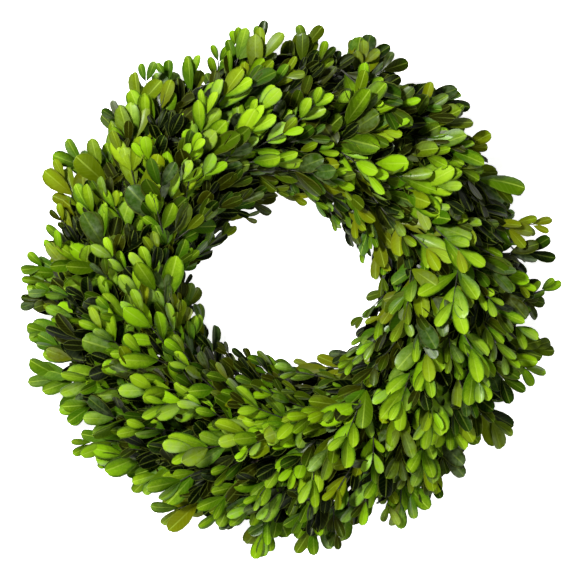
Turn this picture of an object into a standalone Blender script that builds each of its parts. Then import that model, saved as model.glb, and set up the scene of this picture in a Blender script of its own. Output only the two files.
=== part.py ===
"""Boxwood wreath, lying on its back with its face up and its ring's axis on the Z axis.

A ring of three twisted canes carries leafy bunches in an outer, a crown and an inner row,
bound on by a wire that winds round the ring. Every sprig leans clockwise, seen from the face.
A bunch is one body: a short core, the stems that stand out of it and the leaves on them.
In the inner row, round the hole, each bunch is a single sprig.
"""
import math
import random
from collections import namedtuple

import bmesh
import bpy
from mathutils import Matrix, Vector
from mathutils.bvhtree import BVHTree

# Base ring
RING_RADIUS = 0.131
RING_HALF = 0.016
RING_CANES = 3
RING_TURNS = 3
CANE_GROOVE = 0.0031
POINTS_PER_CANE = 3
RING_SECTIONS = 36
REST_SHAVE = 0.0012
RING_HEIGHT = RING_HALF - REST_SHAVE

# Binding wire
WIRE_RADIUS = 0.0006
WIRE_CLEARANCE = 0.0004
WIRE_POINTS_PER_TURN = 9

# Cores of the bunches
CORE_INNER = 0.0200
CORE_OUTER = 0.0385
CORE_STEP = 0.0030
END_GAP = 0.0006
ROW_GAP = 0.0012

# Reach of the foliage from the ring's centre line, and the hole it leaves
REACH_OUT = 0.0655
REACH_UP = 0.0690
REACH_IN = 0.0690
REACH_JITTER = 0.0035
HOLE_CLEAR = 0.0560
RIM_LIMIT = 0.2050
FLOOR_CLEAR = 0.0005

# Stems and leaves, drawn larger than life so that fewer of them cover the wreath
STEM_ROOT_RADIUS = 0.0021
STEM_TIP_RADIUS = 0.0016
STEM_SUNK = 0.0080
STEM_SHORTEST = 0.0100
STEM_LONGEST = 0.0260
STRAY_SUNK = 0.0035
LEAF_LENGTH = 0.0340
LEAF_WIDTH = 0.0205
LEAF_THICK = 0.0012
LEAF_SUNK = 0.0008
LEAF_PAST_STEM = 0.80
TIP_LEAF_SUNK = 0.0010
LEAF_DROOP = 0.0035
BLADE_MARGIN = 0.0005

# Where stems stand on a core, as shares of it, and how much chance there is in their growth
FIRST_STEM_ALONG = 0.62
TRACKS = 3
STEM_EDGE = 0.10
STRAY_ALONG = 0.14
FAN = 0.16
ALONG_CHANCE = 0.03
ACROSS_CHANCE = 0.04
FAN_CHANCE = 0.08
LEAN_CHANCE_DEG = 4.0
TURN_CHANCE_DEG = 6.0
SIZE_CHANCE = (0.92, 1.06)
SEED = 9

# Waves in the rims: times round the wreath, turn in degrees and height
OUTER_WAVES = ((3, 119.0, 0.0017),)
INNER_WAVES = ((2, 22.0, 0.0030), (3, 110.0, 0.0028))

# Half outline of a blade, as shares of its length and of its half width
BLADE_SIDE = ((0.56, 1.0), (0.88, 0.68))
BLADE_RIDGE = (0.12, 0.52)

Row = namedtuple(
    "Row", "name bunches turn_deg low_deg high_deg lean_deg sprigs face_up leaf_size stray_across"
)
ROWS = (
    Row("outer", 14, 5.0, -5.0, 52.0, 38.0, 3, 0.9, 1.0, 0.90),
    Row("crown", 12, 13.0, 52.0, 128.0, 33.0, 3, 0.3, 1.0, 0.12),
    Row("inner", 27, 5.0, 128.0, 186.0, 44.0, 1, 0.9, 0.84, None),
)

# Leaves of a sprig: place along the stem, turn from the stem, dip from its plane and size
Leaf = namedtuple("Leaf", "place turn_deg dip_deg size")
SPRIG = (
    (Leaf(1.0, 4.0, 0.0, 0.95),),
    (Leaf(0.80, 56.0, 8.0, 1.0), Leaf(0.80, -56.0, 8.0, 1.0)),
    (Leaf(0.28, 62.0, 18.0, 1.0), Leaf(0.28, -62.0, 18.0, 1.0)),
)

STRAY_LEAF = Leaf(1.0, 0.0, 8.0, 0.9)

# Ways to turn a blade out of another's way: dip, roll and turn in degrees, and size
NUDGES = (
    (0, 0, 0, 1.0), (-8, 0, 0, 1.0), (8, 0, 0, 1.0), (0, 15, 0, 1.0), (0, -15, 0, 1.0),
    (-8, 0, 10, 1.0), (-8, 0, -10, 1.0), (8, 12, 0, 0.95), (-16, 0, 0, 0.95),
    (16, 0, 0, 0.9), (-16, 25, 0, 0.9), (-16, -25, 0, 0.9), (0, 0, 18, 0.85),
    (0, 0, -18, 0.85), (-24, 0, 0, 0.85), (-12, 35, 10, 0.8), (-12, -35, -10, 0.8),
)

MATERIALS = {
    "leaf_light": ((0.16, 0.27, 0.035), 0.42, 0.0),
    "leaf_mid": ((0.085, 0.17, 0.028), 0.40, 0.0),
    "leaf_deep": ((0.040, 0.095, 0.022), 0.36, 0.0),
    "cane": ((0.155, 0.095, 0.055), 0.85, 0.0),
    "wire": ((0.06, 0.07, 0.05), 0.45, 0.8),
}
LEAF_TONES = ("leaf_light", "leaf_mid", "leaf_deep")


def material(name):
    """One Principled material, made once."""
    found = bpy.data.materials.get(name)
    if found:
        return found
    colour, roughness, metallic = MATERIALS[name]
    made = bpy.data.materials.new(name)
    made.use_nodes = True
    shader = made.node_tree.nodes["Principled BSDF"]
    shader.inputs["Base Color"].default_value = (*colour, 1.0)
    shader.inputs["Roughness"].default_value = roughness
    shader.inputs["Metallic"].default_value = metallic
    return made


def object_of(name, bm, collection=None):
    """A mesh object from a bmesh, which is used up."""
    mesh = bpy.data.meshes.new(name)
    bm.to_mesh(mesh)
    bm.free()
    made = bpy.data.objects.new(name, mesh)
    (collection or bpy.context.scene.collection).objects.link(made)
    return made


def axes_at(theta, psi):
    """Directions clockwise round the wreath, outward from its section and sideways on it."""
    radial = Vector((math.cos(theta), math.sin(theta), 0.0))
    onward = Vector((math.sin(theta), -math.cos(theta), 0.0))
    outward = radial * math.cos(psi) + Vector((0.0, 0.0, math.sin(psi)))
    sideways = onward.cross(outward)
    return onward, outward, sideways


def point_at(theta, psi, rho):
    """A point at an angle round the wreath and an angle and distance round its section."""
    radial = RING_RADIUS + rho * math.cos(psi)
    height = RING_HEIGHT + rho * math.sin(psi)
    return Vector((radial * math.cos(theta), radial * math.sin(theta), height))


def wave_at(theta, waves):
    """Sum of a rim's waves at an angle round the wreath."""
    return sum(height * math.cos(times * theta + math.radians(turn)) for times, turn, height in waves)


def reach_at(theta, psi):
    """How far the leaf tips stand from the ring's centre line, uneven as it was bound."""
    side = REACH_OUT if math.cos(psi) > 0.0 else REACH_IN
    even = math.hypot(side * math.cos(psi), REACH_UP * math.sin(psi))
    share_in = max(0.0, -math.cos(psi))
    return even + wave_at(theta, OUTER_WAVES) * (1.0 - share_in) - wave_at(theta, INNER_WAVES) * share_in


def cane_radius(phase):
    """Radius of the twisted ring at an angle from the crest of a cane."""
    return RING_HALF - CANE_GROOVE * (1.0 - math.cos(RING_CANES * phase)) / 2.0


def make_base_ring():
    """Three canes twisted round each other, shaved flat where the ring lies."""
    bm = bmesh.new()
    sides = RING_CANES * POINTS_PER_CANE
    place = Matrix.Translation((RING_RADIUS, 0.0, 0.0)) @ Matrix.Rotation(math.pi / 2, 4, "X")
    section = bmesh.ops.create_circle(bm, segments=sides, radius=RING_HALF, matrix=place)
    bmesh.ops.spin(
        bm, geom=section["verts"] + bm.edges[:], cent=(0, 0, 0), axis=(0, 0, 1),
        angle=math.tau, steps=RING_SECTIONS, use_merge=True,
    )
    for vert in bm.verts:
        theta = math.atan2(vert.co.y, vert.co.x)
        phase = math.atan2(vert.co.z, math.hypot(vert.co.x, vert.co.y) - RING_RADIUS)
        turned = phase + RING_TURNS * theta - math.pi / 2
        vert.co = point_at(theta, turned, cane_radius(phase))
    bmesh.ops.recalc_face_normals(bm, faces=bm.faces[:])
    cut = bmesh.ops.bisect_plane(
        bm, geom=bm.verts[:] + bm.edges[:] + bm.faces[:], plane_co=(0, 0, 0),
        plane_no=(0, 0, -1), clear_outer=True,
    )
    edges = [item for item in cut["geom_cut"] if isinstance(item, bmesh.types.BMEdge)]
    bmesh.ops.holes_fill(bm, edges=edges, sides=0)
    bmesh.ops.recalc_face_normals(bm, faces=bm.faces[:])
    ring = object_of("base_ring", bm)
    ring.data.materials.append(material("cane"))
    return ring


def make_binding_wire():
    """Wire wound round the ring, over the canes and under it in the grooves between them."""
    turns = RING_CANES * RING_TURNS
    count = turns * WIRE_POINTS_PER_TURN - 1
    first_groove = math.pi / turns
    chord = 1.0 / math.cos(math.pi / WIRE_POINTS_PER_TURN)
    over_canes = RING_HALF * chord + WIRE_RADIUS + WIRE_CLEARANCE
    in_grooves = RING_HEIGHT - WIRE_RADIUS - WIRE_CLEARANCE
    curve = bpy.data.curves.new("binding_wire", "CURVE")
    curve.dimensions = "3D"
    curve.bevel_depth = WIRE_RADIUS
    curve.bevel_resolution = 0
    curve.use_fill_caps = True
    spline = curve.splines.new("POLY")
    spline.points.add(count - 1)
    for index, point in enumerate(spline.points, start=1):
        wound = index / WIRE_POINTS_PER_TURN
        phi = wound * math.tau - math.pi / 2
        rho = over_canes if index % WIRE_POINTS_PER_TURN else in_grooves
        point.co = (*point_at(first_groove + wound * math.tau / turns, phi, rho), 1.0)
    wire = bpy.data.objects.new("binding_wire", curve)
    bpy.context.scene.collection.objects.link(wire)
    curve.materials.append(material("wire"))
    return wire


def core_mesh(row, theta_from, theta_to):
    """A bunch's core: a block of the ring's jacket, a little lower where its sprigs lean to."""
    bm = bmesh.new()
    bmesh.ops.create_grid(bm, x_segments=2, y_segments=2, size=0.5)
    raised = bmesh.ops.extrude_face_region(bm, geom=bm.faces[:])
    for item in raised["geom"]:
        if isinstance(item, bmesh.types.BMVert):
            item.co.z = 1.0
    low = math.radians(row.low_deg)
    high = math.radians(row.high_deg)
    for vert in bm.verts:
        along = vert.co.x + 0.5
        across = vert.co.y + 0.5
        rho = CORE_INNER
        if vert.co.z > 0.5:
            rho = CORE_OUTER - CORE_STEP * along
        shift = ROW_GAP / 2 / rho
        psi = low + shift + (high - low - 2 * shift) * across
        radial = RING_RADIUS + rho * math.cos(psi)
        shift = END_GAP / 2 / radial
        theta = theta_from - shift - (theta_from - theta_to - 2 * shift) * along
        vert.co = point_at(theta, psi, rho)
    bmesh.ops.recalc_face_normals(bm, faces=bm.faces[:])
    return bm


def stem_mesh(start, end, facing, grow=0.0):
    """A three-sided tapered stem between two points."""
    along = (end - start).normalized()
    side = along.cross(facing).normalized()
    up = side.cross(along)
    bm = bmesh.new()
    bmesh.ops.create_cone(
        bm, cap_ends=True, segments=3, radius1=STEM_ROOT_RADIUS + grow,
        radius2=STEM_TIP_RADIUS + grow, depth=(end - start).length + grow,
    )
    turn = Matrix((side, up, along)).transposed().to_4x4()
    bmesh.ops.transform(bm, matrix=Matrix.Translation((start + end) / 2) @ turn, verts=bm.verts[:])
    return bm


def leaf_mesh(root, along, facing, size, grow=0.0):
    """A blade with a wedge-shaped foot, a round tip and a ridge, arched towards its tip."""
    length = LEAF_LENGTH * size + 2 * grow
    half_width = LEAF_WIDTH * size / 2 + grow
    bm = bmesh.new()
    foot = bm.verts.new((0.0, 0.0, -grow))
    tip = bm.verts.new((0.0, length, -grow))
    left = [bm.verts.new((-wide * half_width, share * length, -grow)) for share, wide in BLADE_SIDE]
    right = [bm.verts.new((wide * half_width, share * length, -grow)) for share, wide in BLADE_SIDE]
    ridge = [bm.verts.new((0.0, share * length, LEAF_THICK + grow)) for share in BLADE_RIDGE]
    for side, turned in ((left, False), (right, True)):
        upper = (
            (foot, ridge[0], side[0]), (ridge[0], ridge[1], side[0]),
            (ridge[1], side[1], side[0]), (ridge[1], tip, side[1]),
        )
        for corners in upper:
            bm.faces.new(corners[::-1] if turned else corners)
    under = (
        (foot, left[0], right[0]), (left[0], left[1], right[1], right[0]), (left[1], tip, right[1]),
    )
    for corners in under:
        bm.faces.new(corners)
    bmesh.ops.triangulate(bm, faces=bm.faces[:])
    for vert in bm.verts:
        vert.co.z -= LEAF_DROOP * (vert.co.y / length) ** 2
    side = along.cross(facing).normalized()
    up = side.cross(along)
    turn = Matrix((side, along, up)).transposed().to_4x4()
    start = root - along * (LEAF_SUNK + grow)
    bmesh.ops.transform(bm, matrix=Matrix.Translation(start) @ turn, verts=bm.verts[:])
    bmesh.ops.recalc_face_normals(bm, faces=bm.faces[:])
    return bm


class Placed:
    """A placed body, kept for the clearance tests."""

    def __init__(self, bunch, kind, bm, sprig=None):
        self.bunch = bunch
        self.kind = kind
        self.sprig = sprig
        self.low = Vector([min(vert.co[axis] for vert in bm.verts) for axis in range(3)])
        self.high = Vector([max(vert.co[axis] for vert in bm.verts) for axis in range(3)])
        self.tree = BVHTree.FromBMesh(bm)
        self.points = [vert.co.xy for vert in bm.verts]

    def spread(self, direction):
        """How far the body reaches past the middle of its box in a level direction."""
        middle = ((self.low + self.high) / 2).xy
        return max((point - middle).dot(direction) for point in self.points)

    def meets(self, other):
        """Whether the two surfaces cross."""
        for axis in range(3):
            if self.low[axis] > other.high[axis] or other.low[axis] > self.high[axis]:
                return False
        return bool(self.tree.overlap(other.tree))


def rims_clear(body):
    """Whether a body stays out of the hole and inside the wreath's outer rim."""
    near_x = max(0.0, body.low.x, -body.high.x)
    near_y = max(0.0, body.low.y, -body.high.y)
    middle = (body.low + body.high) / 2
    far = middle.xy.length + body.spread(middle.xy.normalized())
    return math.hypot(near_x, near_y) > HOLE_CLEAR and far < RIM_LIMIT


Sprig = namedtuple("Sprig", "bunch start end along facing leaf_size")


class Wreath:
    """The bunches as they grow: what is placed so far and the blades of each bunch."""

    def __init__(self):
        self.draw = random.Random(SEED)
        self.placed = []
        self.blades = {}
        self.cores = {}
        self.sprigs = []
        self.strays = []

    def strangers_clear(self, body):
        """Whether a body keeps clear of every other bunch, of the floor and of the hole."""
        if body.low.z < FLOOR_CLEAR:
            return False
        return not any(other.bunch != body.bunch and body.meets(other) for other in self.placed)

    def siblings_met(self, body):
        """How many leaves of its bunch's other sprigs a leaf crosses."""
        return sum(
            1 for other in self.placed
            if other.bunch == body.bunch and other.kind != "core"
            and other.sprig is not body.sprig and body.meets(other)
        )

    def plant_cores(self):
        """A core for each bunch, row by row, with the places of its sprigs."""
        for row in ROWS:
            step = math.tau / row.bunches
            for number in range(row.bunches):
                name = "bunch_%s_%02d" % (row.name, number + 1)
                theta_to = math.radians(row.turn_deg) - number * step
                bm = core_mesh(row, theta_to + step, theta_to)
                self.placed.append(Placed(name, "core", bm))
                self.cores[name] = bm
                self.blades[name] = []
                self.place_sprigs(row, number, name, theta_to + step, theta_to)

    def place_sprigs(self, row, number, name, theta_from, theta_to):
        """The stems of a bunch, in tracks across its core, and one leaf at the back edge of most."""
        for index in range(row.sprigs):
            along_share = (index + FIRST_STEM_ALONG) / row.sprigs + self.chance(ALONG_CHANCE)
            track = index if row.sprigs > 1 else number
            across_share = ((2 * track + 1) % TRACKS + 0.5) / TRACKS
            across_share = STEM_EDGE + (1.0 - 2 * STEM_EDGE) * across_share + self.chance(ACROSS_CHANCE)
            theta = theta_from + (theta_to - theta_from) * along_share
            root_height = CORE_OUTER - CORE_STEP
            leaving, along, facing, lean, psi = self.aim(row, theta, across_share, root_height)
            tip_reach = reach_at(theta, psi) + self.chance(REACH_JITTER)
            climb = tip_reach - root_height
            length = climb / math.sin(lean) - LEAF_PAST_STEM * LEAF_LENGTH * row.leaf_size
            length = min(max(length, STEM_SHORTEST), STEM_LONGEST)
            start = leaving - along * STEM_SUNK
            end = leaving + along * length
            self.sprigs.append(Sprig(name, start, end, along, facing, row.leaf_size))
        if row.stray_across is None:
            return
        theta = theta_from + (theta_to - theta_from) * STRAY_ALONG
        root_height = CORE_OUTER - CORE_STEP - STRAY_SUNK
        leaving, along, facing, _, _ = self.aim(row, theta, row.stray_across, root_height)
        start = leaving - along * STEM_SUNK
        self.strays.append(Sprig(name, start, leaving, along, facing, row.leaf_size))

    def aim(self, row, theta, across_share, height):
        """Where a stem leaves its core, which way it and its leaves face, its lean and its place."""
        psi = math.radians(row.low_deg + (row.high_deg - row.low_deg) * across_share)
        onward, outward, sideways = axes_at(theta, psi)
        lean = math.radians(row.lean_deg + self.chance(LEAN_CHANCE_DEG))
        fan = FAN * (across_share - 0.5) + self.chance(FAN_CHANCE)
        along = onward * math.cos(lean) + outward * math.sin(lean) + sideways * fan
        along.normalize()
        facing = outward + Vector((0.0, 0.0, row.face_up * max(0.0, 1.0 - math.sin(psi))))
        facing = (facing - along * facing.dot(along)).normalized()
        return point_at(theta, psi, height), along, facing, lean, psi

    def chance(self, most):
        """A random amount up to the given size, either way."""
        return self.draw.uniform(-most, most)

    def grow_stems(self):
        """The stems that keep clear of other bunches."""
        standing = []
        for sprig in self.sprigs:
            wide = stem_mesh(sprig.start, sprig.end, sprig.facing, BLADE_MARGIN)
            body = Placed(sprig.bunch, "stem", wide, sprig)
            if not self.strangers_clear(body):
                continue
            bm = stem_mesh(sprig.start, sprig.end, sprig.facing)
            self.placed.append(Placed(sprig.bunch, "stem", bm, sprig))
            self.blades[sprig.bunch].append(bm)
            standing.append(sprig)
        self.sprigs = standing

    def grow_leaves(self):
        """Tip leaves first, then the pairs behind them, each turned until it is clear."""
        for whorl in SPRIG:
            for sprig in self.sprigs:
                for leaf in whorl:
                    self.grow_leaf(sprig, leaf)
        for stray in self.strays:
            self.grow_leaf(stray, STRAY_LEAF)

    def grow_leaf(self, sprig, leaf):
        """One leaf, turned the first way that crosses nothing, or the way that crosses least."""
        visible = sprig.end - sprig.start - sprig.along * STEM_SUNK
        root = sprig.start + sprig.along * STEM_SUNK + visible * leaf.place
        root -= sprig.along * (TIP_LEAF_SUNK if leaf.place == 1.0 else 0.0)
        turn = leaf.turn_deg + self.chance(TURN_CHANCE_DEG)
        size = leaf.size * sprig.leaf_size * self.draw.uniform(*SIZE_CHANCE)
        best = None
        for dip_more, roll, turn_more, shrink in NUDGES:
            outward_turn = turn + math.copysign(turn_more, turn)
            swing = Matrix.Rotation(math.radians(outward_turn), 3, sprig.facing)
            along = swing @ sprig.along
            side = along.cross(sprig.facing).normalized()
            dip = Matrix.Rotation(-math.radians(leaf.dip_deg + dip_more), 3, side)
            along = dip @ along
            facing = dip @ sprig.facing
            facing = Matrix.Rotation(math.radians(roll), 3, along) @ facing
            bm = leaf_mesh(root, along, facing, size * shrink, BLADE_MARGIN)
            wide = Placed(sprig.bunch, "leaf", bm, sprig)
            if not rims_clear(wide) or not self.strangers_clear(wide):
                continue
            met = self.siblings_met(wide)
            if best is None or met < best[0]:
                best = (met, along, facing, size * shrink)
            if met == 0:
                break
        if best is None:
            return
        bm = leaf_mesh(root, best[1], best[2], best[3])
        self.placed.append(Placed(sprig.bunch, "leaf", bm, sprig))
        self.blades[sprig.bunch].append(bm)

    def join_bunches(self):
        """One body of each core with its stems and leaves."""
        for number, (name, core) in enumerate(self.cores.items()):
            join_repeats(name, core, self.blades[name], LEAF_TONES[number % len(LEAF_TONES)])


def join_repeats(name, core, repeats, tone):
    """Union of a core with its repeats, which are then removed."""
    made = object_of(name, core)
    parts = bpy.data.collections.new(name + "_parts")
    bpy.context.scene.collection.children.link(parts)
    for number, bm in enumerate(repeats):
        object_of("%s_part_%02d" % (name, number), bm, parts)
    union = made.modifiers.new("join", "BOOLEAN")
    union.operation = "UNION"
    union.operand_type = "COLLECTION"
    union.collection = parts
    union.solver = "EXACT"
    joined = made.evaluated_get(bpy.context.evaluated_depsgraph_get())
    shaped = bpy.data.meshes.new_from_object(joined)
    made.modifiers.clear()
    old = made.data
    made.data = shaped
    bpy.data.meshes.remove(old)
    for part in list(parts.objects):
        mesh = part.data
        bpy.data.objects.remove(part)
        bpy.data.meshes.remove(mesh)
    bpy.data.collections.remove(parts)
    shaped.name = name
    shaped.materials.clear()
    shaped.materials.append(material(tone))
    return made


def clear_scene():
    """Start with no objects."""
    for item in list(bpy.data.objects):
        bpy.data.objects.remove(item)


clear_scene()
make_base_ring()
make_binding_wire()
wreath = Wreath()
wreath.plant_cores()
wreath.grow_stems()
wreath.grow_leaves()
wreath.join_bunches()
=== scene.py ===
import math
import random
from collections import namedtuple

import bmesh
import bpy
from mathutils import Matrix, Vector
from numpy import interp


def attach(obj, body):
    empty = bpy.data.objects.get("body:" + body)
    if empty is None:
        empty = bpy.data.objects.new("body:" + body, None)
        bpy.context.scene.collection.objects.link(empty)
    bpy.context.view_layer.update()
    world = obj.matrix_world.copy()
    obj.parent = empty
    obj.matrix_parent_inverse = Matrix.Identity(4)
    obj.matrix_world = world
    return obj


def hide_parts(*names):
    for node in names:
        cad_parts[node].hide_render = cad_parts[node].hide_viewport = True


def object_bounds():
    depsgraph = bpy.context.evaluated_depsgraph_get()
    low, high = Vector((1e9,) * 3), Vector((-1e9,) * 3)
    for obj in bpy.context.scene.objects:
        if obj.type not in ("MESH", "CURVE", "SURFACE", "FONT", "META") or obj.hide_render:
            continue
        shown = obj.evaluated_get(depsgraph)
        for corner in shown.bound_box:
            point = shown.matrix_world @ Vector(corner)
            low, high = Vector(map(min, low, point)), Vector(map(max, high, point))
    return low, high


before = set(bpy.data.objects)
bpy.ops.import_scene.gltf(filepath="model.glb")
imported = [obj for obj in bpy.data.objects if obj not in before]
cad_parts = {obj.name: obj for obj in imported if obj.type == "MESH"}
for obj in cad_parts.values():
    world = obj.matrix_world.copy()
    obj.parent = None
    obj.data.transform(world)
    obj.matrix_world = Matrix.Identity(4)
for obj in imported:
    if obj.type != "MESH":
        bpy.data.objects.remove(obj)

solid_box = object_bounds()

# Floor, light and camera
# A white light table, on which the wreath's shadow is lost, with a lamp to its upper left and a
# weaker one to its lower right. Low white walls stand round it in a dim room, and the camera
# looks straight down on the wreath's face from a long way off.
FLOOR_SIZE = 6.0
FLOOR_WHITE = (0.92, 0.92, 0.915)
FLOOR_GAP = 0.0002
FLOOR_GLOW = 1.0
ROOM_WHITE = (0.95, 0.97, 1.0)
ROOM_GLOW = 0.075
WALL_GLOW = 0.95
# Where the walls fade into the room, as the sine of the angle above the table
WALL_EDGE = (0.10, 0.22)
# Name, place, width in metres and power in watts
LAMPS = (
    ("left lamp", (-0.97, 0.58, 1.65), 0.35, 72.0),
    ("right lamp", (0.50, -1.05, 1.70), 0.6, 17.0),
)
CAMERA_HEIGHT = 1.70
CAMERA_SHIFT = (0.0011, -0.0004)
VIEW_WIDTH = 0.4406
VIEW_LEVEL = 0.030


def plain_material(name, colour, roughness):
    made = bpy.data.materials.new(name)
    made.use_nodes = True
    shader = made.node_tree.nodes["Principled BSDF"]
    shader.inputs["Base Color"].default_value = (*colour, 1.0)
    shader.inputs["Roughness"].default_value = roughness
    return made


def link_mesh(name, bm, materials):
    """A mesh object from a bmesh, which is freed."""
    mesh = bpy.data.meshes.new(name)
    bm.to_mesh(mesh)
    bm.free()
    for item in materials:
        mesh.materials.append(item)
    made = bpy.data.objects.new(name, mesh)
    bpy.context.scene.collection.objects.link(made)
    return made


bm = bmesh.new()
bmesh.ops.create_grid(bm, x_segments=1, y_segments=1, size=FLOOR_SIZE / 2)
bmesh.ops.translate(bm, verts=bm.verts[:], vec=(0.0, 0.0, solid_box[0][2] - FLOOR_GAP))
floor = link_mesh("floor", bm, [plain_material("lit white table", FLOOR_WHITE, 0.9)])
table = floor.active_material.node_tree.nodes["Principled BSDF"]
table.inputs["Emission Color"].default_value = (*FLOOR_WHITE, 1.0)
table.inputs["Emission Strength"].default_value = FLOOR_GLOW

world = bpy.data.worlds.new("studio")
world.use_nodes = True
room = world.node_tree
light = room.nodes["Background"]
light.inputs["Color"].default_value = (*ROOM_WHITE, 1.0)
way = room.nodes.new("ShaderNodeTexCoord")
height = room.nodes.new("ShaderNodeSeparateXYZ")
glow = room.nodes.new("ShaderNodeMapRange")
for name, value in zip(("From Min", "From Max", "To Min", "To Max"), (*WALL_EDGE, WALL_GLOW, ROOM_GLOW)):
    glow.inputs[name].default_value = value
room.links.new(way.outputs["Generated"], height.inputs["Vector"])
room.links.new(height.outputs["Z"], glow.inputs["Value"])
room.links.new(glow.outputs["Result"], light.inputs["Strength"])
bpy.context.scene.world = world
bpy.context.scene.view_settings.view_transform = "Standard"

for name, place, size, power in LAMPS:
    lamp = bpy.data.lights.new(name, "AREA")
    lamp.shape = "DISK"
    lamp.size = size
    lamp.energy = power
    holder = bpy.data.objects.new(name, lamp)
    holder.location = place
    holder.rotation_euler = (-Vector(place)).to_track_quat("-Z", "Y").to_euler()
    bpy.context.scene.collection.objects.link(holder)

lens = bpy.data.cameras.new("camera")
lens.sensor_fit = "HORIZONTAL"
lens.angle = 2 * math.atan(VIEW_WIDTH / 2 / (CAMERA_HEIGHT - VIEW_LEVEL))
camera = bpy.data.objects.new("camera", lens)
camera.location = (*CAMERA_SHIFT, CAMERA_HEIGHT)
bpy.context.scene.collection.objects.link(camera)
bpy.context.scene.camera = camera


# Base ring
# Three vine canes as thick as a finger, soaked, twisted round each other and bent into a ring.
# The bark is left on, and it is cut through where the ring lies on the table.
RING_RADIUS = 0.131
RING_HEIGHT = 0.0148
CANE_RADIUS = 0.0073
CANE_ORBIT = 0.0085
RING_CANES = 3
RING_TURNS = 3
CANE_SIDES = 20
CANE_STEPS = 240
BARK_RIDGES = 7
BARK_WANDER = 11
BARK_BREAKS = 23
BARK_DEPTH = 0.0005
BARK_STRETCH = 40.0
BARK_GRAIN = (26.0, 4.0, 1.0)
CRACK_SCALE = 3.0
BLOTCH_SCALE = 90.0
BARK_DARK = (0.030, 0.018, 0.011)
BARK_PALE = (0.170, 0.115, 0.072)


def point_at(theta, psi, rho):
    """A point at an angle round the wreath and an angle and distance round its section."""
    radial = RING_RADIUS + rho * math.cos(psi)
    height = RING_HEIGHT + rho * math.sin(psi)
    return Vector((radial * math.cos(theta), radial * math.sin(theta), height))


class Value:
    """A socket of a node tree, with the operators that shader maths needs."""

    def __init__(self, nodes, socket):
        self.nodes = nodes
        self.socket = socket

    def maths(self, operation, *others):
        return self.nodes.add("ShaderNodeMath", {"operation": operation}, dict(enumerate((self, *others))))

    def __add__(self, other):
        return self.maths("ADD", other)

    def __sub__(self, other):
        return self.maths("SUBTRACT", other)

    def __mul__(self, other):
        return self.maths("MULTIPLY", other)

    def __rsub__(self, other):
        return (self * -1.0) + other

    def __pow__(self, other):
        return self.maths("POWER", other)

    def __abs__(self):
        return self.maths("ABSOLUTE")

    __radd__ = __add__

    def part(self, name):
        return Value(self.nodes, self.socket.node.outputs[name])

    def ramp(self, low, high):
        """0 below low and 1 above high, smooth between."""
        return self.nodes.add(
            "ShaderNodeMapRange", {"interpolation_type": "SMOOTHSTEP", "clamp": True},
            {"Value": self, "From Min": low, "From Max": high},
        )


class Nodes:
    """The node tree of a material, filled one node at a time."""

    def __init__(self, name):
        self.material = bpy.data.materials.new(name)
        self.material.use_nodes = True
        self.tree = self.material.node_tree
        self.shader = self.tree.nodes["Principled BSDF"]

    def add(self, kind, settings=None, sockets=None, output=0):
        node = self.tree.nodes.new(kind)
        for name, value in (settings or {}).items():
            setattr(node, name, value)
        for name, value in (sockets or {}).items():
            self.put(node.inputs[name], value)
        return Value(self, node.outputs[output])

    def put(self, socket, value):
        if isinstance(value, Value):
            self.tree.links.new(value.socket, socket)
        elif isinstance(value, tuple) and len(value) == 3 and socket.type == "RGBA":
            socket.default_value = (*value, 1.0)
        else:
            socket.default_value = value

    def mix(self, factor, first, second):
        """A colour between two others."""
        return self.add(
            "ShaderNodeMix", {"data_type": "RGBA"},
            {"Factor": factor, 6: first, 7: second}, output=2,
        )

    def noise(self, where, scale, detail):
        return self.add(
            "ShaderNodeTexNoise", {}, {"Vector": where, "Scale": scale, "Detail": detail, "Roughness": 0.55}
        )

    def bump(self, height, distance, strength):
        return self.add("ShaderNodeBump", {}, {"Height": height, "Distance": distance, "Strength": strength})

    def shade(self, **inputs):
        for name, value in inputs.items():
            self.put(self.shader.inputs[name.replace("_", " ")], value)
        return self.material


def bark_material():
    """Grey-brown vine bark, cracked lengthways."""
    nodes = Nodes("vine bark")
    where = nodes.add("ShaderNodeTexCoord").part("Object")
    grain = nodes.add("ShaderNodeUVMap", {"uv_map": "cane"})
    stretched = nodes.add("ShaderNodeMapping", {}, {"Vector": grain, "Scale": BARK_GRAIN})
    cracks = nodes.noise(stretched, CRACK_SCALE, 6.0)
    blotches = nodes.noise(where, BLOTCH_SCALE, 4.0)
    tone = cracks.ramp(0.36, 0.66) * 0.75 + blotches.ramp(0.35, 0.70) * 0.25
    return nodes.shade(
        Base_Color=nodes.mix(tone, BARK_DARK, BARK_PALE),
        Roughness=0.9 - tone * 0.12,
        Normal=nodes.bump(cracks, 0.0012, 0.9),
    )


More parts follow.
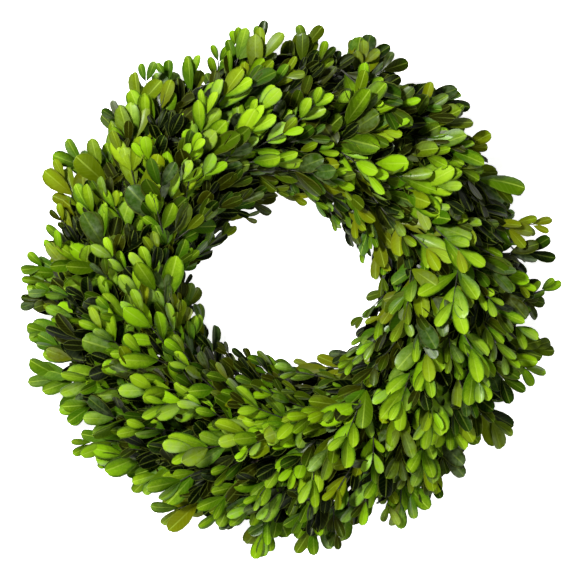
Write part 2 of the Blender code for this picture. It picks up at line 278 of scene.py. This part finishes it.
def cane_mesh(number):
    """One cane of the ring, swept round it while it turns about the others."""
    bm = bmesh.new()
    uv = bm.loops.layers.uv.new("cane")
    place = Matrix.Translation((RING_RADIUS, 0.0, 0.0)) @ Matrix.Rotation(math.pi / 2, 4, "X")
    bmesh.ops.create_circle(bm, segments=CANE_SIDES, radius=CANE_RADIUS, matrix=place)
    bmesh.ops.spin(
        bm, geom=bm.verts[:] + bm.edges[:], cent=(0, 0, 0), axis=(0, 0, 1),
        angle=math.tau, steps=CANE_STEPS, use_merge=True,
    )
    places = {}
    for vert in bm.verts:
        theta = math.atan2(vert.co.y, vert.co.x)
        phase = math.atan2(vert.co.z, math.hypot(vert.co.x, vert.co.y) - RING_RADIUS)
        places[vert] = (theta / math.tau, phase / math.tau)
        orbit = math.tau * number / RING_CANES - RING_TURNS * theta - math.pi / 2
        ridge = math.sin(BARK_RIDGES * phase + BARK_WANDER * theta) * math.sin(BARK_BREAKS * theta + number)
        centre = point_at(theta, orbit, CANE_ORBIT)
        bark = CANE_RADIUS - BARK_DEPTH * (1.0 - ridge)
        rim = point_at(theta, phase, bark) - point_at(theta, 0.0, 0.0)
        vert.co = centre + rim
        vert.co.z = max(vert.co.z, solid_box[0][2])
    for face in bm.faces:
        face.smooth = True
        around = [places[loop.vert] for loop in face.loops]
        for loop, (u, v) in zip(face.loops, around):
            u += 1.0 if u < max(one for one, _ in around) - 0.5 else 0.0
            v += 1.0 if v < max(other for _, other in around) - 0.5 else 0.0
            loop[uv].uv = (v, u * BARK_STRETCH)
    bmesh.ops.recalc_face_normals(bm, faces=bm.faces[:])
    return bm


canes = bmesh.new()
canes.loops.layers.uv.new("cane")
for number in range(RING_CANES):
    one = cane_mesh(number)
    kept = bpy.data.meshes.new("cane")
    one.to_mesh(kept)
    one.free()
    canes.from_mesh(kept)
    bpy.data.meshes.remove(kept)
base_ring = link_mesh("twisted_canes", canes, [bark_material()])
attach(base_ring, "root")
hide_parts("base_ring")


# Binding wire
# Annealed florist's wire, wound round the ring and the bunches' stems in one run of nine turns.
# It crosses under the ring in the grooves between the canes, so that the ring lies flat.
WIRE_RADIUS = 0.0006
WIRE_TURNS = 9
WIRE_POINTS = 28
WIRE_OVER = 0.0173
WIRE_CLEAR = 0.0004
WIRE_TUCK = 6
WIRE_DARK = (0.035, 0.040, 0.030)
WIRE_WORN = (0.16, 0.16, 0.14)
WEAR_SCALE = 420.0


def wire_material():
    nodes = Nodes("annealed wire")
    where = nodes.add("ShaderNodeTexCoord").part("Object")
    worn = nodes.noise(where, WEAR_SCALE, 3.0).ramp(0.50, 0.68)
    return nodes.shade(
        Base_Color=nodes.mix(worn, WIRE_DARK, WIRE_WORN),
        Roughness=0.50 - worn * 0.12, Metallic=0.85,
    )


path = bpy.data.curves.new("wire path", "CURVE")
path.dimensions = "3D"
path.bevel_depth = WIRE_RADIUS
path.bevel_resolution = 2
path.use_fill_caps = True
run = path.splines.new("POLY")
run.points.add(WIRE_TURNS * WIRE_POINTS - 2)
for index, point in enumerate(run.points, start=1):
    wound = index / WIRE_POINTS
    phi = wound * math.tau - math.pi / 2
    under = max(0.0, -math.sin(phi)) ** WIRE_TUCK
    rho = WIRE_OVER - (WIRE_OVER + WIRE_RADIUS - RING_HEIGHT + WIRE_CLEAR) * under
    point.co = (*point_at(math.pi / WIRE_TURNS + wound * math.tau / WIRE_TURNS, phi, rho), 1.0)
drawn = bpy.data.objects.new("wire path", path)
bpy.context.scene.collection.objects.link(drawn)
bm = bmesh.new()
bm.from_mesh(drawn.to_mesh())
drawn.to_mesh_clear()
bpy.data.objects.remove(drawn)
for face in bm.faces:
    face.smooth = True
wire = link_mesh("florist_wire", bm, [wire_material()])
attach(wire, "root")
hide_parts("binding_wire")


# Outer row
# Boxwood twigs in fourteen bunches, laid on the outer side of the ring so that each bunch covers
# the stems of the one before. A twig carries opposite pairs of blunt leaves, about two
# centimetres long and widest past their middle, with a pale midrib and a fine rim.
LEAF_COLUMNS = 4
LEAF_ROWS = 6
LEAF_TIP = 0.988
LEAF_WEDGE = 0.86
LEAF_BLUNT = 0.46
LEAF_ROUND = 0.030
LEAF_FOOT = 0.07
LEAF_THICKNESS = 0.02
TIP_CROWDING = 1.9
# How far the underside lies from the upper face in the leaf's UV map
UNDERSIDE = 2.0
# A blade's width, cup, fold, arch and twist, as shares of its length
BLADES = (
    (0.42, 0.26, 0.10, -0.10, 0.00), (0.48, -0.22, 0.16, -0.18, 0.12), (0.38, 0.30, 0.06, -0.04, -0.14),
    (0.51, -0.26, 0.12, -0.10, 0.04), (0.44, 0.12, 0.20, -0.20, 0.18), (0.49, 0.34, 0.02, -0.14, -0.10),
    (0.40, -0.16, 0.20, 0.05, 0.08), (0.54, 0.20, 0.12, -0.16, -0.06), (0.36, 0.24, 0.14, -0.08, 0.20),
    (0.45, -0.32, 0.10, -0.24, -0.18), (0.50, 0.28, 0.16, -0.05, 0.06), (0.43, -0.08, 0.24, -0.17, -0.12),
    (0.41, 0.40, 0.00, 0.02, 0.10), (0.47, -0.30, 0.22, -0.12, -0.05),
)
LEAF_OLIVE = (0.150, 0.165, 0.001)
# Painted highlight: a paler colour on the brightest parts of a leaf
LEAF_PAINTED_HIGHLIGHT = (0.430, 0.620, 0.050)
LEAF_RIM = (0.240, 0.320, 0.040)
LEAF_MIDRIB = (0.330, 0.450, 0.050)
LEAF_GLOSS = (0.75, 1.0, 0.45)
# Painted sheen: a grey-green sheen laid on some leaves
LEAF_PAINTED_SHEEN = (0.140, 0.180, 0.085)
LEAF_UNDER = (0.055, 0.095, 0.006)
LEAF_VEINS = 62.0
VEIN_SLANT = 0.16
MOTTLE_SCALE = 260.0
FLECK_SCALE = 1100.0
# How much each shows in a leaf's tone or colour
MOTTLE_SHARE = 0.35
FLECK_SHARE = 0.30
LOT_SHARE = 0.1
# Painted shade at a leaf's edges and toward its root
EDGE_PAINTED_SHADE = 0.95
ROOT_PAINTED_SHADE = 0.70
# How much the painted highlight shows
PAINTED_HIGHLIGHT_SHARE = 0.15
OLIVE_SHARE = 0.85
VEIN_SHARE = 0.06
MIDRIB_SHARE = 0.70
# How much the painted sheen shows
PAINTED_SHEEN_SHARE = 0.36
UNDER_SHARE = 0.5
STEM_BLOOM_AND_SHEEN_SCALE = 700.0
STEM_SIDES = 5
STEM_TAPER = 0.60
STEM_DARK = (0.008, 0.008, 0.002)
STEM_GREY = (0.034, 0.037, 0.014)


def leaf_outline(share):
    """Half width of a blade at a share of its length, as a share of the widest half."""
    widest = LEAF_WEDGE / (LEAF_WEDGE + LEAF_BLUNT)
    half = (share * LEAF_TIP / widest) ** LEAF_WEDGE
    return max(half * ((1.0 - share * LEAF_TIP) / (1.0 - widest)) ** LEAF_BLUNT, LEAF_FOOT)


def leaf_blade(name, width, cup, fold, arch, twist):
    """A blade one metre long, from its foot at the origin along +Y, its upper face to +Z."""
    bm = bmesh.new()
    uv = bm.loops.layers.uv.new("leaf")
    bmesh.ops.create_grid(bm, x_segments=LEAF_COLUMNS, y_segments=LEAF_ROWS, size=1.0, calc_uvs=True)
    bmesh.ops.solidify(bm, geom=bm.faces[:], thickness=LEAF_THICKNESS)
    bm.normal_update()
    for face in bm.faces:
        face.smooth = abs(face.normal.z) > 0.5
        if face.normal.z < -0.5:
            for loop in face.loops:
                loop[uv].uv.x += UNDERSIDE
    for edge in bm.edges:
        edge.smooth = all(face.smooth for face in edge.link_faces)
    for vert in bm.verts:
        across = vert.co.x
        step = (vert.co.y + 1.0) / 2.0
        share = 1.0 - (1.0 - step) ** TIP_CROWDING
        half = leaf_outline(share) * width / 2.0
        level = cup * half * across * across + fold * half * abs(across)
        level += arch * share * share + vert.co.z
        turn = twist * share
        place = share - LEAF_ROUND * across * across * step ** 6
        vert.co = (across * half * math.cos(turn), place, level + across * half * math.sin(turn))
    mesh = bpy.data.meshes.new(name)
    bm.to_mesh(mesh)
    bm.free()
    return mesh


def stem_rod():
    """A tapered stem one metre long and one metre in radius at its root."""
    bm = bmesh.new()
    bm.loops.layers.uv.new("leaf")
    bmesh.ops.create_cone(
        bm, cap_ends=True, segments=STEM_SIDES, radius1=1.0, radius2=STEM_TAPER, depth=1.0,
        matrix=Matrix.Translation((0.0, 0.0, 0.5)),
    )
    for face in bm.faces:
        face.smooth = len(face.verts) == 4
    mesh = bpy.data.meshes.new("stem rod")
    bm.to_mesh(mesh)
    bm.free()
    return mesh


blades = [leaf_blade("blade %d" % number, *shape) for number, shape in enumerate(BLADES)]
rod = stem_rod()


def leaf_material(name, dark, light, rough, shine, drawing):
    """A leaf's skin: its own tone with painted shade at its edges and root, a painted highlight, painted
    sheen, a dull underside, and a midrib, rim and veins drawn more or less.
    """
    nodes = Nodes(name)
    growth = nodes.add("ShaderNodeAttribute", {"attribute_name": "growth"})
    kind = nodes.add("ShaderNodeSeparateColor", {}, {"Color": growth})
    bright, yellow, lot = kind.part("Red"), kind.part("Green"), kind.part("Blue")
    where = nodes.add("ShaderNodeTexCoord").part("Object")
    spread = nodes.add("ShaderNodeUVMap", {"uv_map": "leaf"})
    place = nodes.add("ShaderNodeSeparateXYZ", {}, {"Vector": spread})
    under = place.ramp(1.40, 1.60)
    across = abs(place - under * UNDERSIDE - 0.5) * 2.0
    along = place.part("Y")
    midrib = 1.0 - across.ramp(0.03, 0.13)
    rim = across.ramp(0.86, 0.96)
    veins = ((along - across * VEIN_SLANT) * LEAF_VEINS).maths("SINE")
    mottle = nodes.noise(where, MOTTLE_SCALE, 2.0)
    fleck = nodes.noise(where, FLECK_SCALE, 2.0)
    tone = bright + (mottle - 0.5) * MOTTLE_SHARE + (fleck - 0.5) * FLECK_SHARE + (lot - 0.5) * LOT_SHARE
    # Painted shade: darker along the blade's edges and toward its root
    tone = tone - across ** 8.0 * EDGE_PAINTED_SHADE - (1.0 - along) ** 2.0 * ROOT_PAINTED_SHADE
    colour = nodes.mix(tone.ramp(0.0, 1.0), dark, light)
    # Painted highlight: the brightest parts of the blade turn paler
    colour = nodes.mix(tone.ramp(0.85, 1.25) * drawing * PAINTED_HIGHLIGHT_SHARE, colour, LEAF_PAINTED_HIGHLIGHT)
    colour = nodes.mix(yellow * OLIVE_SHARE, colour, LEAF_OLIVE)
    lines = veins.ramp(0.4, 1.0) * VEIN_SHARE * drawing + rim * (0.24 - drawing * 0.17)
    colour = nodes.mix(lines, colour, LEAF_RIM)
    colour = nodes.mix(midrib * along * MIDRIB_SHARE * drawing, colour, LEAF_MIDRIB)
    # Painted sheen: grey-green patches on some leaves, standing in for their sheen
    bloom_and_sheen = lot.ramp(0.55, 1.0) * mottle.ramp(0.3, 0.7) * tone.ramp(-0.3, 0.6) * PAINTED_SHEEN_SHARE
    colour = nodes.mix(bloom_and_sheen, colour, LEAF_PAINTED_SHEEN)
    colour = nodes.mix(under * tone.ramp(0.0, 0.8) * UNDER_SHARE, colour, LEAF_UNDER)
    return nodes.shade(
        Base_Color=colour,
        Roughness=rough + under * 0.25 + (mottle - 0.5) * 0.12,
        Specular_IOR_Level=shine,
        Coat_Weight=lot.ramp(0.55, 0.95) * 0.24,
        Coat_Roughness=0.30,
        Specular_Tint=LEAF_GLOSS,
        Normal=nodes.bump(veins * 0.06 - midrib, 0.00020, 0.5),
    )


def stem_material():
    """Thin woody stems, olive brown with grey patches that are partly a bloom and partly painted sheen."""
    nodes = Nodes("boxwood stem")
    where = nodes.add("ShaderNodeTexCoord").part("Object")
    # Grey patches, partly a bloom and partly painted sheen
    bloom_and_sheen = nodes.noise(where, STEM_BLOOM_AND_SHEEN_SCALE, 3.0).ramp(0.40, 0.70)
    return nodes.shade(
        Base_Color=nodes.mix(bloom_and_sheen, STEM_DARK, STEM_GREY), Roughness=0.55 - bloom_and_sheen * 0.1,
        Normal=nodes.bump(bloom_and_sheen, 0.0002, 0.5),
    )


LEAF_MATERIALS = (
    leaf_material("yellow-green leaf", (0.030, 0.085, 0.0004), (0.240, 0.406, 0.008), 0.42, 0.07, 1.0),
    leaf_material("mid green leaf", (0.008, 0.032, 0.0003), (0.175, 0.350, 0.003), 0.42, 0.06, 0.8),
    leaf_material("deep green leaf", (0.0003, 0.0016, 0.0001), (0.022, 0.062, 0.0008), 0.36, 0.05, 0.4),
    stem_material(),
)
LIGHT_LEAF, MID_LEAF, DEEP_LEAF, STEM = range(4)
# What a sprig's leaves are like: material, brightness and yellowness
TONES = {
    "lime": (LIGHT_LEAF, 0.76, 0.00),
    "fresh": (LIGHT_LEAF, 0.77, 0.04),
    "golden": (LIGHT_LEAF, 0.73, 0.42),
    "mid": (MID_LEAF, 1.08, 0.06),
    "olive": (MID_LEAF, 0.88, 0.65),
    "dull": (MID_LEAF, 0.60, 0.20),
    "deep": (DEEP_LEAF, 0.85, 0.02),
    # The last tone is near black, as painted shade for leaves deep in a bunch
    "shade_black": (DEEP_LEAF, 0.12, 0.00),
}
NEW_GROWTH = ("lime", "lime", "fresh", "fresh", "mid")
MIXED_GROWTH = ("lime", "fresh", "fresh", "golden", "mid", "mid", "olive", "dull", "deep")
OLD_GROWTH = ("fresh", "mid", "dull", "golden", "olive", "dull", "deep", "deep")
SHADED_GROWTH = ("fresh", "mid", "olive", "dull", "dull", "deep", "deep", "deep")
# Tones of the lower layers, dark as painted shade
BETWEEN = ("deep", "deep", "deep", "shade_black", "shade_black")
LOW = ("shade_black",)
STEM_RADIUS = 0.0007
FOOT_THICKER = 1.6
FOOT_BACK = 0.10
STEM_FOOT = 0.0185
FOOT_SPAN = 0.35
CORE_TOP = 0.0340
FLOOR_CLEAR = 0.0005
PAIR_SPACING = 0.0138
TIP_LEAF_PAST = 0.7
OVER_TURN = 0.6
OVER_DIP = 8.0
OWN_TONE_SHARE = 0.8
# How much chance there is in a leaf: brightness, yellowness, degrees from its place, and size
BRIGHT_CHANCE = (-0.25, 0.14)
YELLOW_CHANCE = (-0.12, 0.14)
OPENING_CHANCE = (-13.0, 13.0)
LIFT_CHANCE = (-12.0, 12.0)
ROLL_CHANCE = (-20.0, 20.0)
SIZE_CHANCE = (0.78, 1.18)
SPACING_CHANCE = (0.85, 1.2)
# How much chance there is in a twig: its swing in degrees and the size of its leaves. Its tip
# strays outward by no more than a share of how far it may stray inward.
SWING_CHANCE = (-14.0, 14.0)
TWIG_CHANCE = (0.74, 1.28)
PROUD_SHARE = 0.6
# How much chance there is in a leaf under the twigs: how it faces, degrees from its place, and how
# far it sits from the ring's centre line
UNDER_FACING = (-0.4, 0.4)
UNDER_TURN = (-55.0, 55.0)
UNDER_LIFT = (0.0, 30.0)
UNDER_ROLL = (-25.0, 25.0)
UNDER_SEAT = (0.034, 0.042)
UNDER_SIZE = 0.95
# Pairs of a twig from its tip: size, opening, lift, painted shade for their depth and whether one stands
# over the stem
PAIRS = (
    (0.76, 17.0, -6.0, -0.04, False), (0.96, 22.0, 10.0, 0.02, True), (1.06, 36.0, -8.0, 0.24, False),
    (0.96, 28.0, 6.0, 0.52, True),
)
# How far the twigs point from straight outward to clockwise, by the radius of their tips, and how
# steeply they rise at the top of the ring
SWING_RADII = (0.070, 0.120, 0.145, 0.185, 0.205)
SWINGS = (106.0, 57.0, 42.0, 29.0, 14.0)
TWIG_RISE = 30.0
TWIG_SHORT = 0.020
TWIG_LONG = 0.050
REACH_OUT = 0.0680
REACH_UP = 0.0660
REACH_IN = 0.0687
# How the rims of the leaves stray from a circle, measured on the photo: waves round, turn, height
OUTER_WAVES = (
    (1, 180.0, 0.0022), (3, 125.0, 0.0031), (4, 82.0, 0.0013), (5, 104.0, 0.0033), (7, -145.0, 0.0012),
)
INNER_WAVES = (
    (1, -115.0, 0.0010), (2, 20.0, 0.0029), (3, 170.0, 0.0024), (4, -19.0, 0.0038), (5, -30.0, 0.0034),
)
# Painted shade: how much darker the leaves are painted for a metre of depth below the leaves' reach, and at
# the rims
DEPTH_SHADE = 24.0
RIM_SHADE = 0.31
# How far the tips of a bunch's lower layers lie below those of the top one
BETWEEN_DROP = 0.0065
LOW_DROP = 0.0135
# Degrees round the section that the lower layers leave free at the outer rim, and that the leaves
# under them go beyond the row's edges
RIM_SPAN = 18.0
UNDER_SPAN = 9.0
# Steps that spread any count of twigs evenly over their ground
GOLDEN_ALONG = 0.7549
GOLDEN_ACROSS = 0.5698
# A row: its bunches and the angle of the first, its edges round the section, how far its tips lie
# ahead of the stems, how rough it is, how far its leaves turn up and their length, the twigs of a
# bunch's top and lower layers, its leaves under them, its shade, its kinds of growth, the numbers
# of the bunches with new and with old growth, and the twigs that stand out
Row = namedtuple(
    "Row",
    "name bunches turn low high ahead rough face_up leaf top between under shade growth new old twigs",
)
# A twig that stands out: angle and radius of its tip round the wreath, swing from straight outward
# to clockwise, length of its leaves in millimetres as is the radius, and their tone
Twig = namedtuple("Twig", "angle radius swing leaf tone")
TWIG_PROUD = 0.0035
RIM_LIMIT = 0.97


def axes_at(theta, psi):
    """Directions clockwise round the wreath and out of its section."""
    radial = Vector((math.cos(theta), math.sin(theta), 0.0))
    onward = Vector((math.sin(theta), -math.cos(theta), 0.0))
    return onward, radial * math.cos(psi) + Vector((0.0, 0.0, math.sin(psi)))


def turned_frame(along, facing, turn, lift, roll):
    """Axes of a leaf that is swung from its stem, lifted off its plane and rolled, all in degrees."""
    along = Matrix.Rotation(math.radians(turn), 3, facing) @ along
    side = along.cross(facing).normalized()
    lifting = Matrix.Rotation(math.radians(lift), 3, side)
    along = (lifting @ along).normalized()
    up = Matrix.Rotation(math.radians(roll), 3, along) @ (lifting @ facing)
    side = along.cross(up).normalized()
    return side, along, side.cross(along)


class Bunch:
    """The leaves and stems of one bunch, gathered in one mesh."""

    def __init__(self, seed, shade):
        self.draw = random.Random(seed)
        self.shade = shade
        self.bm = bmesh.new()
        self.bm.loops.layers.uv.new("leaf")
        self.growth = self.bm.verts.layers.float_color.new("growth")

    def add(self, template, matrix, material, growth):
        """Add a copy of a leaf or stem, raised where it would go through the floor."""
        first_vert, first_face = len(self.bm.verts), len(self.bm.faces)
        self.bm.from_mesh(template)
        self.bm.verts.ensure_lookup_table()
        self.bm.faces.ensure_lookup_table()
        verts = self.bm.verts[first_vert:]
        bmesh.ops.transform(self.bm, matrix=matrix, verts=verts)
        lowest = min(vert.co.z for vert in verts)
        for vert in verts:
            vert.co.z += max(FLOOR_CLEAR - lowest, 0.0)
            vert[self.growth] = growth
        for face in self.bm.faces[first_face:]:
            face.material_index = material

    def leaf(self, root, axes, length, tone, shade=0.0):
        material, bright, yellow = TONES[tone]
        # The first value is the leaf's brightness less its painted shade, which is painted light where it is
        # below zero
        growth = (
            bright - shade - self.shade + self.draw.uniform(*BRIGHT_CHANCE),
            max(0.0, yellow + self.draw.uniform(*YELLOW_CHANCE)), self.draw.random(), 1.0,
        )
        matrix = Matrix.Translation(root) @ Matrix(axes).transposed().to_4x4() @ Matrix.Scale(length, 4)
        self.add(self.draw.choice(blades), matrix, material, growth)

    def stem(self, start, end, radius):
        turn = (end - start).to_track_quat("Z", "Y").to_matrix().to_4x4()
        size = Matrix.Diagonal((radius, radius, (end - start).length, 1.0))
        self.add(rod, Matrix.Translation(start) @ turn @ size, STEM, (0.5, 0.0, 0.5, 1.0))

    def sprig(self, start, end, facing, leaf_length, tone, deep):
        """A stem from start to end with its leaves, which face one way and are painted darker when deep, as
        painted shade.
        """
        draw = self.draw
        along = (end - start).normalized()
        facing = (facing - along * facing.dot(along)).normalized()
        self.stem(start, end, STEM_RADIUS)
        back = 0.0
        for size, opening, lift, shade, over in PAIRS:
            root = end - along * back
            for way in (1.0, -1.0):
                turn = way * opening + draw.uniform(*OPENING_CHANCE)
                raised = lift + draw.uniform(*LIFT_CHANCE)
                if over:
                    turn *= OVER_TURN
                    raised = raised if way > 0.0 else -raised - OVER_DIP
                axes = turned_frame(along, facing, turn, raised, draw.uniform(*ROLL_CHANCE))
                length = leaf_length * size * draw.uniform(*SIZE_CHANCE)
                own = tone if draw.random() < OWN_TONE_SHARE else draw.choice(MIXED_GROWTH)
                self.leaf(root - axes[0] * STEM_RADIUS * way, axes, length, own, shade + deep)
            back += PAIR_SPACING * draw.uniform(*SPACING_CHANCE)


def wave_at(theta, waves):
    """Sum of a rim's waves at an angle round the wreath."""
    return sum(height * math.cos(times * theta + math.radians(turn)) for times, turn, height in waves)


def reach_at(theta, psi):
    """How far the leaf tips stand from the ring's centre line, uneven as it was bound."""
    side = REACH_OUT if math.cos(psi) > 0.0 else REACH_IN
    even = math.hypot(side * math.cos(psi), REACH_UP * math.sin(psi))
    share_in = max(0.0, -math.cos(psi))
    return even + wave_at(theta, OUTER_WAVES) * (1.0 - share_in) - wave_at(theta, INNER_WAVES) * share_in


def angles_of(point):
    """The angle of a point round the wreath and its angle round the section."""
    psi = math.atan2(point.z - RING_HEIGHT, math.hypot(point.x, point.y) - RING_RADIUS)
    return math.atan2(point.y, point.x), psi


def set_twig(bunch, tip, swing, face_up, leaf, tone):
    """A twig from the ring's side up to the tip of its foremost leaf."""
    theta, psi = angles_of(tip)
    onward, outward = axes_at(theta, psi)
    aim = theta - math.radians(swing)
    rise = math.radians(TWIG_RISE * max(0.0, math.sin(psi)))
    way = Vector((math.cos(aim) * math.cos(rise), math.sin(aim) * math.cos(rise), math.sin(rise)))
    end = tip - way * leaf * TIP_LEAF_PAST
    spoke = end - point_at(theta, 0.0, 0.0)
    across = way - onward * way.dot(onward)
    spare = spoke.dot(across) ** 2 - across.length_squared * (spoke.length_squared - CORE_TOP ** 2)
    back = (spoke.dot(across) - math.sqrt(max(0.0, spare))) / across.length_squared
    start = end - way * min(max(back, TWIG_SHORT), TWIG_LONG)
    start_theta, start_psi = angles_of(start)
    foot_psi = min(max(start_psi, FOOT_SPAN), math.pi - FOOT_SPAN)
    foot = point_at(start_theta + FOOT_BACK, foot_psi, STEM_FOOT)
    bunch.stem(foot, start, STEM_RADIUS * FOOT_THICKER)
    facing = outward + Vector((0.0, 0.0, face_up * max(0.0, 1.0 - math.sin(psi))))
    # Painted shade: leaves lying below the leaves' reach and near the rims are painted darker
    depth = max(0.0, reach_at(theta, psi) - (tip - point_at(theta, 0.0, 0.0)).length)
    bunch.sprig(start, end, facing, leaf, tone, depth * DEPTH_SHADE + abs(math.cos(psi)) ** 3 * RIM_SHADE)


def fill_bunch(bunch, theta_from, theta_to, row, count, drop, tones):
    """Twigs with their tips spread over a bunch's ground, at the leaves' reach or that much lower."""
    draw = bunch.draw
    shift = draw.random()
    for index in range(count):
        along_share = (shift + index * GOLDEN_ALONG) % 1.0
        across_share = (0.5 + shift + index * GOLDEN_ACROSS) % 1.0
        theta = theta_from + (theta_to - theta_from) * along_share - math.radians(row.ahead)
        low = max(row.low, RIM_SPAN) if drop else row.low
        psi = math.radians(low + (row.high - low) * across_share)
        proud = draw.uniform(-row.rough, row.rough * PROUD_SHARE)
        tip = point_at(theta, psi, reach_at(theta, psi) - drop + proud)
        swing = interp(math.hypot(tip.x, tip.y), SWING_RADII, SWINGS) + draw.uniform(*SWING_CHANCE)
        set_twig(bunch, tip, swing, row.face_up, row.leaf * draw.uniform(*TWIG_CHANCE), draw.choice(tones))


def lay_under_leaves(bunch, theta_from, theta_to, row):
    """Leaves low on the stems, painted near black as painted shade, which hide the ring."""
    draw = bunch.draw
    for index in range(row.under):
        along_share = (0.3 + index * GOLDEN_ACROSS) % 1.0
        across_share = (0.7 + index * GOLDEN_ALONG) % 1.0
        theta = theta_from + (theta_to - theta_from) * along_share
        psi = math.radians(row.low - UNDER_SPAN + (row.high - row.low + 2 * UNDER_SPAN) * across_share)
        onward, outward = axes_at(theta, psi)
        facing = (outward + onward * draw.uniform(*UNDER_FACING)).normalized()
        along = (onward - facing * onward.dot(facing)).normalized()
        turn, lift, roll = (draw.uniform(*chance) for chance in (UNDER_TURN, UNDER_LIFT, UNDER_ROLL))
        axes = turned_frame(along, facing, turn, lift, roll)
        root = point_at(theta, psi, draw.uniform(*UNDER_SEAT))
        bunch.leaf(root, axes, row.leaf * UNDER_SIZE, draw.choice(LOW))


def twig_tip(twig):
    """Where the foremost leaf of a twig that stands out ends, a little above the leaves' reach."""
    theta, radius = math.radians(twig.angle), twig.radius / 1000.0
    psi = math.acos(max(-RIM_LIMIT, min(RIM_LIMIT, (radius - RING_RADIUS) / REACH_UP)))
    height = RING_HEIGHT + (REACH_UP + TWIG_PROUD) * math.sin(psi)
    return Vector((radius * math.cos(theta), radius * math.sin(theta), height))


def lay_row(row):
    """All bunches of a row, one after the other, clockwise."""
    step = math.tau / row.bunches
    for number in range(1, row.bunches + 1):
        bunch = Bunch("%s %d" % (row.name, number), row.shade)
        theta_to = math.radians(row.turn) - (number - 1) * step
        ground = (theta_to + step, theta_to)
        tones = NEW_GROWTH if number in row.new else OLD_GROWTH if number in row.old else row.growth
        fill_bunch(bunch, *ground, row, row.top, 0.0, tones)
        fill_bunch(bunch, *ground, row, row.between, BETWEEN_DROP, BETWEEN)
        fill_bunch(bunch, *ground, row, row.between, LOW_DROP, LOW)
        lay_under_leaves(bunch, *ground, row)
        for twig in row.twigs:
            if (math.radians(twig.angle + row.ahead) - theta_to) % math.tau < step:
                set_twig(bunch, twig_tip(twig), twig.swing, row.face_up, twig.leaf / 1000.0, twig.tone)
        node = "bunch_%s_%02d" % (row.name, number)
        piece = link_mesh("%s_sprigs_%02d" % (row.name, number), bunch.bm, LEAF_MATERIALS)
        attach(piece, "root")
        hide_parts(node)


OUTER_TWIGS = (
    Twig(13, 208, 18, 20, "olive"), Twig(8, 205, 4, 26, "deep"), Twig(1, 207, -25, 18, "mid"),
    Twig(22, 193, 40, 32, "deep"), Twig(36, 177, 35, 31, "fresh"), Twig(46, 200, 42, 29, "deep"),
    Twig(52, 190, 5, 27, "dull"), Twig(71, 199, 0, 24, "olive"), Twig(68, 176, 8, 24, "lime"),
    Twig(85, 203, 5, 24, "dull"), Twig(96, 204, 5, 24, "deep"), Twig(101, 203, 12, 20, "mid"),
    Twig(122, 203, 32, 20, "fresh"), Twig(130, 177, 40, 35, "golden"), Twig(152, 205, 27, 26, "olive"),
    Twig(124, 190, 50, 28, "golden"), Twig(146, 186, 20, 30, "golden"),
    Twig(172, 178, 8, 34, "fresh"), Twig(177, 203, 15, 26, "mid"), Twig(183, 204, 0, 22, "deep"),
    Twig(190, 202, 12, 27, "fresh"), Twig(213, 179, 35, 30, "fresh"), Twig(216, 206, 30, 24, "mid"),
    Twig(222, 195, 37, 30, "mid"), Twig(234, 193, 12, 28, "fresh"), Twig(240, 203, 40, 28, "olive"),
    Twig(264, 207, 6, 26, "mid"), Twig(275, 204, 10, 26, "mid"), Twig(281, 205, 5, 18, "deep"),
    Twig(295, 202, 30, 26, "mid"), Twig(301, 205, 0, 28, "fresh"), Twig(304, 197, 34, 26, "deep"),
    Twig(306, 184, 25, 28, "lime"), Twig(341, 206, 8, 24, "mid"), Twig(347, 208, -12, 22, "dull"),
)
lay_row(Row(
    name="outer", bunches=14, turn=5.0, low=-7.0, high=56.0, ahead=10.0, rough=0.0095,
    face_up=1.8, leaf=0.0245, top=5, between=3, under=26, shade=0.0,
    growth=MIXED_GROWTH, new=(5, 6, 7, 8), old=(1, 2, 12, 13, 14), twigs=OUTER_TWIGS,
))


# Crown row
# Twelve bunches along the top of the ring, their stems covered by the next bunch's leaves.
# Their leaves are painted the brightest, as painted light on the top of the ring, and they lean on the outer
# row.
CROWN_TWIGS = (
    Twig(6, 143, 50, 31, "fresh"), Twig(31, 151, 26, 27, "lime"), Twig(55, 150, 98, 28, "deep"),
    Twig(62, 157, 32, 34, "dull"), Twig(94, 147, 40, 28, "lime"), Twig(97, 130, 52, 28, "lime"),
    Twig(102, 162, 52, 31, "lime"), Twig(105, 108, 95, 33, "deep"), Twig(135, 133, 45, 31, "deep"),
    Twig(138, 162, 36, 34, "golden"), Twig(165, 113, 55, 30, "fresh"), Twig(187, 152, 52, 28, "lime"),
    Twig(212, 141, 35, 31, "lime"), Twig(246, 119, 70, 30, "golden"), Twig(276, 162, 15, 28, "fresh"),
    Twig(287, 132, 40, 28, "lime"), Twig(305, 148, 35, 28, "dull"), Twig(309, 128, 58, 26, "lime"),
    Twig(312, 157, 48, 31, "lime"), Twig(337, 160, 40, 30, "fresh"), Twig(347, 124, 88, 28, "lime"),
)
lay_row(Row(
    name="crown", bunches=12, turn=13.0, low=46.0, high=126.0, ahead=12.0, rough=0.0080,
    face_up=0.6, leaf=0.0245, top=5, between=4, under=30, shade=-0.16,
    growth=MIXED_GROWTH, new=(3, 5, 6, 7, 9), old=(1, 2, 12), twigs=CROWN_TWIGS,
))


# Inner row
# Twenty-seven small bunches of short sprigs, bound one after the other round the hole, so that
# the hole stays open. Their leaves are painted darker than the others, as painted shade.
INNER_TWIGS = (
    Twig(42, 68, 132, 24, "fresh"), Twig(197, 70, 122, 26, "fresh"), Twig(238, 82, 108, 28, "fresh"),
)
lay_row(Row(
    name="inner", bunches=27, turn=5.0, low=122.0, high=186.0, ahead=20.0, rough=0.0025,
    face_up=1.2, leaf=0.0205, top=2, between=2, under=8, shade=0.15,
    growth=SHADED_GROWTH, new=(), old=(), twigs=INNER_TWIGS,
))
